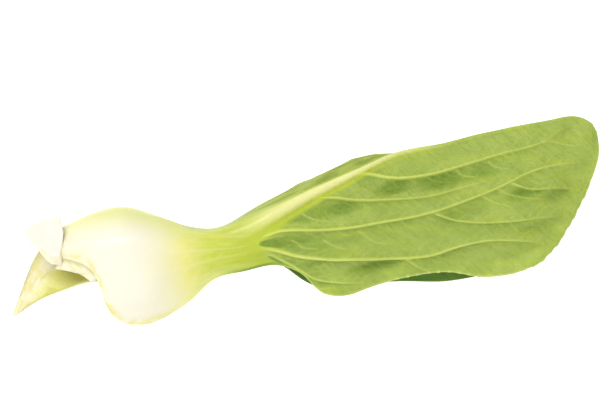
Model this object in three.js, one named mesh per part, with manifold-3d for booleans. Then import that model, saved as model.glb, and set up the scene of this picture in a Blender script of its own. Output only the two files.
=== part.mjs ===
// A single leaf of a small, spoon-stalked bok choy, pulled from the head and laid on its side.
// It is folded lengthwise along its midrib, with the back of the leaf outside. The half on top
// is the near one. The far half lies under it on the table, and the fold opens towards -Y.
// The torn base is at -X and the tip of the blade at +X. Sizes are in millimetres, +Z is up.

import * as THREE from 'three';
import { mergeVertices } from 'three/addons/utils/BufferGeometryUtils.js';
import Module from 'manifold-3d';

// Sections through the leaf's back skin, from the torn base to the tip. Each one runs round the
// fold: near edge, near flank, crest of the midrib, back, underside, far edge.
const SECTIONS = [
  // torn base and the narrow, rolled collar behind it
  [[-74.1, -11.0, 20.4], [-73.4, -9.0, 22.0], [-72.9, -6.5, 22.3],
    [-73.0, -2.1, 18.0], [-81.9, -10.8, 3.0], [-89.0, -28.5, 1.5]],
  [[-69.3, -11.7, 22.5], [-69.0, -9.3, 24.5], [-68.7, -6.0, 24.8],
    [-68.4, 0.2, 17.0], [-75.0, -8.7, 1.4], [-81.0, -24.0, 2.0]],
  [[-64.2, -13.9, 24.0], [-63.9, -9.9, 26.5], [-63.6, -5.1, 26.5],
    [-63.6, 2.4, 16.0], [-67.5, -7.6, 0.0], [-73.2, -21.0, 2.2]],
  [[-61.6, -18.3, 22.5], [-60.2, -12.3, 27.0], [-59.1, -4.5, 27.5],
    [-58.8, 3.9, 15.0], [-60.6, -6.7, -0.6], [-65.4, -18.6, 2.2]],
  // swollen bowl of the stalk
  [[-59.6, -25.0, 20.0], [-57.6, -17.4, 25.6], [-56.4, -4.2, 28.0],
    [-56.1, 4.2, 15.0], [-57.0, -6.6, -0.8], [-59.4, -18.6, 2.2]],
  [[-55.4, -30.4, 16.0], [-53.8, -22.0, 23.6], [-53.4, -4.2, 28.5],
    [-52.8, 4.2, 15.0], [-52.8, -6.4, -0.8], [-53.4, -19.2, 2.2]],
  [[-46.8, -30.8, 14.5], [-45.6, -22.2, 22.4], [-45.3, -4.8, 27.0],
    [-45.0, 1.9, 14.5], [-45.0, -7.6, -0.2], [-45.6, -20.1, 2.4]],
  [[-35.2, -24.5, 12.5], [-34.8, -18.3, 18.3], [-34.8, -5.4, 22.5],
    [-34.8, -1.6, 13.5], [-34.8, -7.5, 1.6], [-34.8, -17.7, 3.0]],
  // narrow neck
  [[-27.3, -17.2, 11.5], [-26.7, -13.0, 16.6], [-26.4, -4.2, 19.5],
    [-26.1, -1.8, 13.5], [-26.1, -6.0, 2.6], [-26.1, -12.3, 3.5]],
  [[-18.9, -15.2, 11.4], [-18.6, -10.5, 16.3], [-18.3, -1.8, 18.5],
    [-17.7, 2.7, 12.5], [-17.4, -3.9, 2.0], [-17.4, -12.3, 2.5]],
  [[-9.3, -13.2, 12.0], [-9.9, -7.2, 16.8], [-10.2, 2.0, 18.5],
    [-9.9, 7.2, 12.0], [-9.0, -0.9, 1.0], [-8.1, -13.1, 2.0]],
  [[-1.2, -15.8, 12.0], [-0.6, -5.7, 17.2], [-0.3, 7.0, 17.5],
    [-0.3, 12.1, 11.0], [0.6, 1.8, 0.4], [-0.3, -18.4, 1.6]],
  // blade
  [[4.8, -21.7, 10.5], [5.7, -5.4, 17.8], [6.3, 10.2, 16.6],
    [6.3, 15.4, 10.5], [7.2, 4.2, 0.2], [6.0, -20.7, 1.4]],
  [[12.0, -22.5, 10.0], [12.6, -4.8, 18.2], [13.2, 13.5, 15.5],
    [13.5, 18.6, 10.0], [14.4, 6.6, 0.0], [13.2, -20.4, 1.4]],
  [[19.2, -20.0, 9.5], [19.6, -2.4, 18.0], [20.1, 16.8, 13.8],
    [20.4, 20.3, 9.5], [21.3, 8.4, -0.2], [20.4, -18.9, 1.2]],
  [[27.3, -17.6, 9.5], [27.6, 0.9, 17.4], [27.0, 19.9, 12.4],
    [27.3, 20.3, 8.5], [28.8, 9.9, -0.2], [28.2, -18.3, 0.8]],
  [[42.0, -15.3, 9.5], [42.2, 3.9, 16.5], [41.4, 22.9, 11.5],
    [41.6, 23.2, 8.0], [43.2, 12.3, -0.2], [42.6, -18.3, 0.6]],
  [[54.8, -16.9, 9.0], [54.6, 5.4, 15.8], [52.2, 25.6, 11.2],
    [52.5, 25.9, 8.0], [54.0, 14.7, 0.0], [56.4, -15.5, 0.8]],
  [[70.8, -12.4, 8.5], [66.6, 7.8, 15.0], [61.8, 27.7, 10.9],
    [62.1, 28.0, 8.0], [65.1, 17.1, 0.4], [68.4, -10.2, 1.2]],
  [[82.2, 3.9, 9.0], [78.3, 17.4, 12.5], [72.9, 29.8, 10.5],
    [73.2, 30.1, 8.0], [76.2, 21.9, 1.6], [79.8, 4.8, 2.2]],
  // rounded tip
  [[88.1, 19.8, 9.5], [84.3, 25.5, 10.5], [79.8, 31.2, 9.5],
    [80.1, 31.3, 7.5], [82.8, 26.7, 3.6], [86.4, 18.9, 3.6]],
  [[88.0, 23.8, 9.2], [86.6, 26.4, 9.6], [83.5, 30.8, 9.1],
    [83.6, 30.8, 7.3], [85.4, 27.2, 5.2], [86.9, 23.5, 5.0]],
  [[87.6, 26.8, 8.9], [87.0, 28.0, 9.1], [86.2, 29.2, 8.8],
    [86.2, 29.2, 7.8], [86.6, 28.0, 6.9], [87.2, 26.8, 6.4]],
];
const CREST_RAIL = 2;
const LAST_RAIL = 5;

// Main veins of the near half as seen from above, [x, y] from the midrib outwards. The far half
// carries their mirror images.
const VEINS = [
  { height: 0.75, path: [[13.8, 13.2], [18.0, 14.2], [23.7, 13.2], [28.2, 12.9], [34.2, 13.5],
    [40.2, 14.7], [46.2, 16.5], [58.2, 20.1], [70.2, 23.4], [76.8, 27.3]] },
  { height: 0.6, path: [[3.6, 6.9], [8.7, 7.0], [14.7, 6.3], [28.2, 6.6], [37.2, 7.5],
    [46.2, 9.9], [55.2, 12.3]] },
  { height: 0.9, path: [[-15.0, -6.6], [-9.3, -3.4], [-4.8, -2.7], [4.2, -2.7], [13.2, -2.0],
    [22.5, -0.4], [32.7, 1.4], [40.2, 3.4], [49.2, 6.6], [57.6, 10.0], [67.2, 14.7],
    [74.7, 16.8], [86.1, 18.0]] },
  { height: 0.5, path: [[38.4, 2.4], [43.8, 0.3], [52.2, -0.5], [61.2, -0.2], [73.2, 1.2],
    [79.2, 1.5]] },
  { height: 0.5, path: [[61.2, 11.4], [67.2, 9.6], [76.2, 9.9], [83.1, 9.0]] },
  { height: 0.9, path: [[-15.0, -7.6], [-9.3, -8.7], [-1.8, -10.7], [7.2, -11.6], [13.2, -11.6],
    [28.2, -11.3], [37.8, -10.4], [46.2, -7.7], [55.2, -5.9], [67.2, -6.2], [73.8, -6.9]] },
  { height: 0.5, path: [[29.7, -11.4], [33.6, -13.8], [37.2, -15.3]] },
  { height: 0.6, path: [[-13.2, -9.0], [-6.9, -11.9], [-1.8, -14.7], [2.7, -17.4], [9.0, -18.6],
    [19.8, -18.5]] },
];
const VEIN_HALF_WIDTH = 1.5;
const VEIN_RISE = 7;

// Low strands along the outside of the stalk, which run on into the midrib and the main veins.
const STRANDS = [
  { height: 0.3, path: [[-51.0, -2.4], [-40.0, -3.2], [-31.8, -4.2], [-24.0, -4.6], [-15.0, -4.4]] },
  { height: 0.3, path: [[-50.0, -9.5], [-40.0, -9.3], [-30.0, -8.6], [-22.0, -8.0], [-15.0, -6.6]] },
  { height: 0.3, path: [[-50.0, -17.0], [-40.0, -15.2], [-30.0, -12.0], [-22.0, -10.4], [-15.0, -9.0]] },
];

// Profiles along the leaf: [x, value] pairs, straight between them.
const MIDRIB_HEIGHT = [[-24, 0], [-10, 1.2], [2, 1.6], [15, 1.2], [28, 0.8], [60, 0.5], [86, 0.2]];
const MIDRIB_HALF_WIDTH = [[-24, 6], [-10, 4.2], [2, 2.8], [15, 2.0], [28, 1.8], [86, 1.6]];
const RIB_WALL = [[-74, 6.0], [-45, 5.5], [-20, 4.8], [0, 3.2], [15, 2.2], [28, 1.7], [60, 1.2],
  [80, 0.7]];
const RIB_WALL_REACH = [[-74, 18], [-45, 20], [-20, 11], [0, 6], [15, 4], [60, 2.5], [86, 1.5]];
const SHEET_WALL = [[-74, 2.6], [-45, 1.8], [-20, 1.6], [-6, 1.1], [8, 0.8], [80, 0.7], [86, 0.65]];
const BLADE_SHARE = [[-16, 0], [6, 1], [78, 1], [86, 0]];

// The sheet of the blade sinks between its veins, and its edges are gently waved.
const PANEL_SINK = 0.9;
const PANEL_REACH = 4.5;
const EDGE_CALM = 5;
const FOLD_CALM = [4, 14];
const WAVE_HEIGHT = 0.35;
const WAVE_LENGTHS = [17.5, 9.3];
const WAVE_DEPTH = 6;
const SCALLOP = 0.3;
const SCALLOP_LENGTH = 6.2;
const SCALLOP_FROM_X = 60;

// The torn end of the base is bevelled, so that its broken face shows from above. Its near rim is
// thinner than the flesh behind it, and its inner edge juts out.
const TEAR_SECTIONS = 3;
const TEAR_SLANT_X = 7;
const TEAR_RIM = new THREE.Vector3(-0.6, -3.4, -2.0);
const TEAR_RIM_THINNING = 0.6;
const TEAR_FADE = 9;

// The heel is the stub of the base that was cut flat with the head's core.
const HEEL_OUTLINE = [[-84.2, -4.5], [-83.4, -2.4], [-82.0, -1.0], [-77.4, 0.7], [-75.9, 1.3],
  [-72.9, 1.5], [-72.3, -1.5], [-71.7, -3.3], [-72.0, -5.6], [-73.0, -10.3], [-76.4, -10.3],
  [-78.6, -8.5], [-81.9, -6.5]];
const HEEL_TOP = 24.6;
const HEEL_TOP_SLOPE_X = 0.24;
const HEEL_TOP_SLOPE_Y = 0.12;
const HEEL_RIM = 3.2;
const HEEL_UNDERCUT = 0.88;
const HEEL_APRON = [0.7, -3.2, 1.0];
const HEEL_APRON_FROM_Y = -7;
const HEEL_FOOT = [-75.6, -7.0, 4.0];
const HEEL_FOOT_SCALE = 0.62;

// Number of rows along the leaf and of columns across each half.
const ROWS = 57;
const NEAR_COLUMNS = 27;
const FAR_COLUMNS = 19;
const WALL_SMOOTHINGS = 4;
const LEVEL = 0.05;

// Value of a profile at x
function profile(pairs, x) {
  if (x <= pairs[0][0]) return pairs[0][1];
  for (let i = 1; i < pairs.length; i++) {
    const [x0, v0] = pairs[i - 1];
    const [x1, v1] = pairs[i];
    if (x <= x1) return THREE.MathUtils.mapLinear(x, x0, x1, v0, v1);
  }
  return pairs[pairs.length - 1][1];
}

// Rounded bump: 1 in the middle, 0 from the reach outwards
function bump(distance, reach) {
  const ratio = Math.min(Math.abs(distance) / reach, 1);
  return (1 - ratio * ratio) ** 2;
}

// Curves along the leaf through the same point of every section
const rails = SECTIONS[0].map((_, rail) => new THREE.CatmullRomCurve3(
  SECTIONS.map((section) => new THREE.Vector3(...section[rail])),
));
const crestLine = SECTIONS.map((section) => section[CREST_RAIL].slice(0, 2));

// Section number at which the crest reaches x
function sectionAt(x) {
  const marks = crestLine.map(([crestX], index) => [crestX, index]);
  return profile(marks, x);
}

// Points round the fold on one section, evenly spaced on each side of the crest, with the
// distance of each from the crest along the skin (negative on the near half)
function sectionPoints(section) {
  const curve = new THREE.CatmullRomCurve3(
    rails.map((rail) => rail.getPoint(section / (SECTIONS.length - 1))),
  );
  const half = (from, to, count) => {
    const steps = 80;
    const points = [];
    const lengths = [0];
    for (let i = 0; i <= steps; i++) {
      points.push(curve.getPoint(THREE.MathUtils.lerp(from, to, i / steps) / LAST_RAIL));
      if (i > 0) lengths.push(lengths[i - 1] + points[i].distanceTo(points[i - 1]));
    }
    const share = lengths.map((length, i) => [length / lengths[steps], i]);
    const result = [];
    for (let i = 0; i <= count; i++) {
      const place = profile(share, i / count);
      const low = Math.min(Math.floor(place), steps - 1);
      const skin = points[low].clone().lerp(points[low + 1], place - low);
      result.push({ skin, arc: lengths[steps] * i / count, halfWidth: lengths[steps] });
    }
    return result;
  };
  const near = half(CREST_RAIL, 0, NEAR_COLUMNS).reverse();
  near.forEach((point) => { point.arc = -point.arc; });
  const far = half(CREST_RAIL, LAST_RAIL, FAR_COLUMNS).slice(1);
  return [...near, ...far];
}

// Where a point of the skin lies in the plan of the veins: the near half as seen from above, the
// far half turned over about the crest
function planOf(point) {
  const { x, y } = point.skin;
  if (point.arc <= 0) return [x, y];
  return [x, profile(crestLine, x) - point.arc];
}

// Distance of a place in plan from a path, positive to the left of the path's direction, and how
// far from the path's start its nearest point is
function measureFrom(path, [x, y]) {
  let best = { distance: Infinity, run: 0, beyond: true };
  let length = 0;
  for (let i = 1; i < path.length; i++) {
    const [x0, y0] = path[i - 1];
    const [dx, dy] = [path[i][0] - x0, path[i][1] - y0];
    const step = Math.hypot(dx, dy);
    const raw = ((x - x0) * dx + (y - y0) * dy) / (step * step);
    const t = THREE.MathUtils.clamp(raw, 0, 1);
    const gap = Math.hypot(x - x0 - t * dx, y - y0 - t * dy);
    if (gap < Math.abs(best.distance)) {
      const side = dx * (y - y0) - dy * (x - x0) >= 0 ? 1 : -1;
      const beyond = (i === 1 && raw < 0) || (i === path.length - 1 && raw > 1);
      best = { distance: side * gap, run: length + t * step, beyond };
    }
    length += step;
  }
  return { ...best, length };
}

// Slide the nearest point of each row onto each vein that crosses it, so that the crest of the
// vein is an edge of the surface
function snapToVeins(row) {
  for (const { path } of VEINS) {
    const marks = row.map((point) => measureFrom(path, planOf(point)));
    for (let j = 1; j < row.length - 2; j++) {
      const [a, b] = [marks[j], marks[j + 1]];
      const sameHalf = row[j].arc * row[j + 1].arc > 0;
      const crosses = sameHalf && !a.beyond && !b.beyond && a.distance * b.distance < 0;
      if (!crosses || row[j].snapped || row[j + 1].snapped) continue;
      const t = a.distance / (a.distance - b.distance);
      const [moved, other, share] = t < 0.5 ? [row[j], row[j + 1], t] : [row[j + 1], row[j], 1 - t];
      moved.skin.lerp(other.skin, share);
      moved.arc = THREE.MathUtils.lerp(moved.arc, other.arc, share);
      moved.snapped = true;
    }
  }
}

// The far half is smooth where it bends round the fold
function foldCalm(point) {
  return point.arc > 0 ? THREE.MathUtils.smoothstep(point.arc, ...FOLD_CALM) : 1;
}

// Height of the midrib, the veins and the strands above the skin
function ridgeHeight(point) {
  const { x } = point.skin;
  const rib = profile(MIDRIB_HEIGHT, x) * bump(point.arc, profile(MIDRIB_HALF_WIDTH, x));
  const place = planOf(point);
  const lines = [...VEINS, ...STRANDS].map(({ height, path }) => {
    const { distance, run, length } = measureFrom(path, place);
    const taper = THREE.MathUtils.smoothstep(run, 0, VEIN_RISE) * (1 - 0.6 * run / length);
    return height * taper * bump(distance, VEIN_HALF_WIDTH);
  });
  return Math.max(rib, foldCalm(point) * Math.max(...lines));
}

// How far the sheet sinks between the veins
function panelSink(point) {
  const share = profile(BLADE_SHARE, point.skin.x);
  if (share === 0) return 0;
  const place = planOf(point);
  const gaps = VEINS.map(({ path }) => Math.abs(measureFrom(path, place).distance));
  const nearest = Math.min(Math.abs(point.arc), ...gaps) / PANEL_REACH;
  const toEdge = point.halfWidth - Math.abs(point.arc);
  const calm = THREE.MathUtils.smoothstep(toEdge, 0, EDGE_CALM);
  return share * calm * foldCalm(point) * PANEL_SINK * (1 - Math.exp(-nearest * nearest));
}

// Gentle wave of the blade's free edges
function edgeWave(point) {
  const { x, y } = point.skin;
  const toEdge = point.halfWidth - Math.abs(point.arc);
  const share = profile(BLADE_SHARE, x) * (1 - THREE.MathUtils.smoothstep(toEdge, 0, WAVE_DEPTH));
  const run = x - 0.6 * y + (point.arc > 0 ? 5 : 0);
  const waves = WAVE_LENGTHS.map((length) => Math.sin(2 * Math.PI * run / length));
  return WAVE_HEIGHT * share * (waves[0] + 0.5 * waves[1]);
}

// Shallow scallops that pull the margin of the blade's far end in and out
function scallop(point) {
  const { x, y } = point.skin;
  const toEdge = point.halfWidth - Math.abs(point.arc);
  const share = THREE.MathUtils.smoothstep(x, SCALLOP_FROM_X, SCALLOP_FROM_X + 10)
    * (1 - THREE.MathUtils.smoothstep(toEdge, 0, 3)) * (1 - THREE.MathUtils.smoothstep(x, 84, 87.5));
  return SCALLOP * share * Math.sin(2 * Math.PI * (x - y) / SCALLOP_LENGTH);
}

// Thickness of the leaf's flesh
function wallThickness(point) {
  const { x } = point.skin;
  const sheet = profile(SHEET_WALL, x);
  return sheet + (profile(RIB_WALL, x) - sheet) * bump(point.arc, profile(RIB_WALL_REACH, x));
}

// How much a point belongs to the near rim of the torn end
function rimShare(point, section) {
  if (point.arc >= 0) return 0;
  const fade = THREE.MathUtils.smoothstep(TEAR_SECTIONS - section, 0, 0.8);
  return fade * bump(point.halfWidth + point.arc, TEAR_FADE);
}

// Shift of the inner skin along the leaf that bevels the torn end on its far side
function tearSlant(section, across) {
  const end = Math.max(1 - section / TEAR_SECTIONS, 0);
  const rise = THREE.MathUtils.smoothstep(across, 0.3, 0.55);
  const fall = 1 - 0.8 * THREE.MathUtils.smoothstep(across, 0.8, 1);
  return TEAR_SLANT_X * end * rise * fall;
}

// Direction along the skin towards its free edge
function edgeward(row, j) {
  const inner = row[j].arc < 0 ? row[j + 1] : row[j - 1];
  return row[j].skin.clone().sub(inner.skin).normalize();
}

// Outward direction of the skin at each point, from its neighbours
function skinNormals(rows) {
  return rows.map((row, i) => row.map((_, j) => {
    const before = rows[Math.max(i - 1, 0)][j].skin;
    const after = rows[Math.min(i + 1, rows.length - 1)][j].skin;
    const left = row[Math.max(j - 1, 0)].skin;
    const right = row[Math.min(j + 1, row.length - 1)].skin;
    const along = after.clone().sub(before);
    const across = right.clone().sub(left);
    return along.cross(across).normalize();
  }));
}

// The same directions, evened out across the fold so that thick flesh doesn't fold over itself
function evened(normals) {
  let result = normals;
  for (let pass = 0; pass < WALL_SMOOTHINGS; pass++) {
    result = result.map((row) => row.map((normal, j) => {
      const left = row[Math.max(j - 1, 0)];
      const right = row[Math.min(j + 1, row.length - 1)];
      return normal.clone().multiplyScalar(2).add(left).add(right).normalize();
    }));
  }
  return result;
}

// Rest on the table: nothing reaches below it
function setDown(position) {
  position.z = Math.max(position.z, 0);
  return position;
}

// The leaf as two like grids, its back skin and its inner skin, closed by walls round the edge
function leafGeometry() {
  const crestStart = crestLine[0][0];
  const crestEnd = crestLine[crestLine.length - 1][0];
  const sections = Array.from({ length: ROWS + 1 }, (_, i) => (
    sectionAt(THREE.MathUtils.lerp(crestStart, crestEnd, i / ROWS))
  ));
  const rows = sections.map(sectionPoints);
  rows.forEach(snapToVeins);
  const normals = skinNormals(rows);
  const inwards = evened(normals);
  const columns = rows[0].length;
  const outer = [];
  const inner = [];
  const heights = [];
  rows.forEach((row, i) => row.forEach((point, j) => {
    const normal = normals[i][j];
    const base = point.skin.clone().addScaledVector(normal, -panelSink(point));
    base.z += edgeWave(point);
    base.addScaledVector(edgeward(row, j), scallop(point));
    setDown(base);
    const ridge = ridgeHeight(point);
    heights.push(ridge);
    outer.push(setDown(base.clone().addScaledVector(normal, ridge)));
    const rim = rimShare(point, sections[i]);
    const thickness = wallThickness(point) * (1 - TEAR_RIM_THINNING * rim);
    const flesh = base.clone().addScaledVector(inwards[i][j], -thickness);
    flesh.addScaledVector(TEAR_RIM, rim);
    flesh.x += tearSlant(sections[i], j / (columns - 1));
    inner.push(flesh);
  }));

  const positions = [...outer, ...inner];
  const triangles = [];
  const innerStart = outer.length;
  const addPair = (a, b, c) => {
    triangles.push([a, c, b], [innerStart + a, innerStart + b, innerStart + c]);
  };
  for (let i = 0; i < ROWS; i++) {
    for (let j = 0; j < columns - 1; j++) {
      const a = i * columns + j;
      const [b, c, d] = [a + 1, a + columns + 1, a + columns];
      const climb = heights[a] + heights[c] - heights[b] - heights[d];
      const shorter = outer[a].distanceTo(outer[c]) < outer[b].distanceTo(outer[d]);
      if (climb > LEVEL || (climb > -LEVEL && shorter)) {
        addPair(a, b, c);
        addPair(a, c, d);
      } else {
        addPair(a, b, d);
        addPair(b, c, d);
      }
    }
  }
  const rim = [];
  for (let j = 0; j < columns - 1; j++) rim.push(j);
  for (let i = 0; i < ROWS; i++) rim.push(i * columns + columns - 1);
  for (let j = columns - 1; j > 0; j--) rim.push(ROWS * columns + j);
  for (let i = ROWS; i > 0; i--) rim.push(i * columns);
  rim.forEach((a, k) => {
    const b = rim[(k + 1) % rim.length];
    triangles.push([a, b, innerStart + a], [b, innerStart + b, innerStart + a]);
  });

  const geometry = new THREE.BufferGeometry();
  geometry.setAttribute('position', new THREE.Float32BufferAttribute(
    positions.flatMap((point) => point.toArray()), 3,
  ));
  geometry.setIndex(triangles.flat());
  return geometry;
}

// Where a point of the heel's outline lies at the flat top, at the foot of the rim and at the foot
function heelLevels(x, y) {
  const [right, back] = [0, 1].map((axis) => Math.max(...HEEL_OUTLINE.map((place) => place[axis])));
  const top = HEEL_TOP - HEEL_TOP_SLOPE_X * (right - x) - HEEL_TOP_SLOPE_Y * (back - y);
  const apron = y < HEEL_APRON_FROM_Y ? HEEL_APRON : [0, 0, 0];
  const rimX = THREE.MathUtils.lerp(HEEL_FOOT[0], x, HEEL_UNDERCUT) + apron[0];
  const rimY = THREE.MathUtils.lerp(HEEL_FOOT[1], y, HEEL_UNDERCUT) + apron[1];
  const footX = THREE.MathUtils.lerp(HEEL_FOOT[0], rimX, HEEL_FOOT_SCALE);
  const footY = THREE.MathUtils.lerp(HEEL_FOOT[1], rimY, HEEL_FOOT_SCALE);
  return [[footX, footY, HEEL_FOOT[2]], [rimX, rimY, top - HEEL_RIM + apron[2]], [x, y, top]];
}

// The heel: a thin flat-topped rim that tapers down into the base of the fold
function heelGeometry() {
  const outline = new THREE.Shape(HEEL_OUTLINE.map(([x, y]) => new THREE.Vector2(x, y)));
  const geometry = new THREE.ExtrudeGeometry(outline, { depth: 2, steps: 2, bevelEnabled: false });
  const position = geometry.getAttribute('position');
  for (let i = 0; i < position.count; i++) {
    const level = Math.round(position.getZ(i));
    position.setXYZ(i, ...heelLevels(position.getX(i), position.getY(i))[level]);
  }
  return geometry;
}

const wasm = await Module();
wasm.setup();

// A closed geometry as a solid that can be joined to others
function solidOf(geometry) {
  const bare = geometry.clone();
  bare.deleteAttribute('normal');
  bare.deleteAttribute('uv');
  const merged = mergeVertices(bare, 1e-4);
  return new wasm.Manifold(new wasm.Mesh({
    numProp: 3,
    vertProperties: new Float32Array(merged.getAttribute('position').array),
    triVerts: new Uint32Array(merged.getIndex().array),
  }));
}

// Geometry of a joined solid
function geometryOf(solid) {
  const { numProp, vertProperties, triVerts } = solid.getMesh();
  const positions = [];
  for (let i = 0; i < vertProperties.length; i += numProp) {
    positions.push(vertProperties[i], vertProperties[i + 1], vertProperties[i + 2]);
  }
  const geometry = new THREE.BufferGeometry();
  geometry.setAttribute('position', new THREE.Float32BufferAttribute(positions, 3));
  geometry.setIndex([...triVerts]);
  geometry.computeVertexNormals();
  return geometry;
}

const leafFlesh = new THREE.MeshStandardMaterial({ color: 0xa9c25c, roughness: 0.45, metalness: 0 });
const leaf = new THREE.Mesh(
  geometryOf(solidOf(leafGeometry()).add(solidOf(heelGeometry()))),
  leafFlesh,
);
leaf.name = 'leaf';

const bokChoyLeaf = new THREE.Group();
bokChoyLeaf.add(leaf);

export default bokChoyLeaf;
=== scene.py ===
import math

import bpy
import numpy as np
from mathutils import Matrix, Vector, noise


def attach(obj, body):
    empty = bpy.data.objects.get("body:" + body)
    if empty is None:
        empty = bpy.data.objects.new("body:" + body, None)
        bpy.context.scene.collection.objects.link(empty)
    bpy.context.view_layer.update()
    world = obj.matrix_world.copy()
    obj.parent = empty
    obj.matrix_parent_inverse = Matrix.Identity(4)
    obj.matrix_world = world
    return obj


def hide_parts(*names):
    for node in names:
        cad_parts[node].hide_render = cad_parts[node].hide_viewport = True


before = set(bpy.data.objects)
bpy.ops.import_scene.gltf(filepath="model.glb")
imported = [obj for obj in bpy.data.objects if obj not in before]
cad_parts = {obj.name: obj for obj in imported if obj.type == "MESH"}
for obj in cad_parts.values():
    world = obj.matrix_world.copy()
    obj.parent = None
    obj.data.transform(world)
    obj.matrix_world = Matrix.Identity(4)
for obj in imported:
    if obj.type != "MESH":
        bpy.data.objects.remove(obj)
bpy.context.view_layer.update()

# Camera
# It hangs straight above the leaf with a long lens, as for a picture laid out on a table.
CAMERA_HEIGHT = 1.1
FOCUS_HEIGHT = 0.012
VIEW_CENTRE_Y = 0.0051
VIEW_WIDTH = 0.1836
SENSOR_WIDTH = 36.0

camera_data = bpy.data.cameras.new("camera")
camera_data.sensor_width = SENSOR_WIDTH
camera_data.lens = SENSOR_WIDTH * (CAMERA_HEIGHT - FOCUS_HEIGHT) / VIEW_WIDTH
camera_data.clip_start = 0.01
camera_data.clip_end = 20.0
camera = bpy.data.objects.new("camera", camera_data)
camera.location = (0.0, VIEW_CENTRE_Y, CAMERA_HEIGHT)
bpy.context.collection.objects.link(camera)
bpy.context.scene.camera = camera


# Leaf
# One leaf that grew as a single piece: a swollen, crisp stalk that runs through a narrow neck into
# the midrib of the blade. It is folded along the midrib with its back outside, and was pulled from
# the head, so its base is torn open. Lengths are in millimetres until the mesh is placed.
MM = 0.001

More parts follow.
